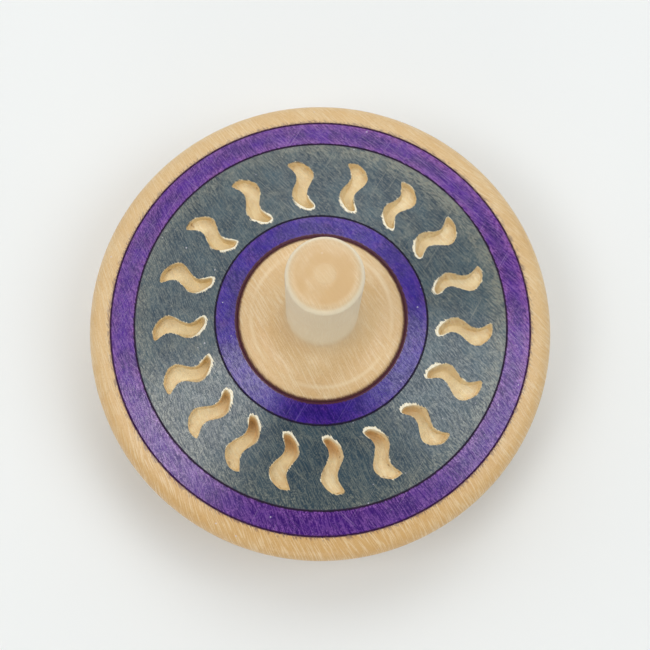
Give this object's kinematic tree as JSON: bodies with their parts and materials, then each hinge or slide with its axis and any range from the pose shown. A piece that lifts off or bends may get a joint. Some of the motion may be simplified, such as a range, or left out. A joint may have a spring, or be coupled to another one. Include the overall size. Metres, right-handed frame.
{
  "type": "finger spinning top",
  "caption": "Hand-turned wooden finger top: a dyed disc with a ring of carved S-shaped pockets on a turned spindle with a finger stem and a hard point.",
  "frame": {"origin": "lowest point of the tip, where the top touches the ground it spins on", "axes": "+Z is the spin axis and points up the finger stem; +X lies a few degrees short of the first carved pocket"},
  "size_m": [0.065, 0.065, 0.0507],
  "materials": {
    "dyed_maple": "turned maple, bare at the rim, with bands of purple and slate dye under a thin wax",
    "bare_maple": "turned and sanded bare maple with a thin wax",
    "tip_steel": "smooth, lightly worn steel"
  },
  "bodies": {
    "root": {"disc": "dyed_maple", "spindle": "bare_maple", "tip": "tip_steel"}
  },
  "joints": []
}
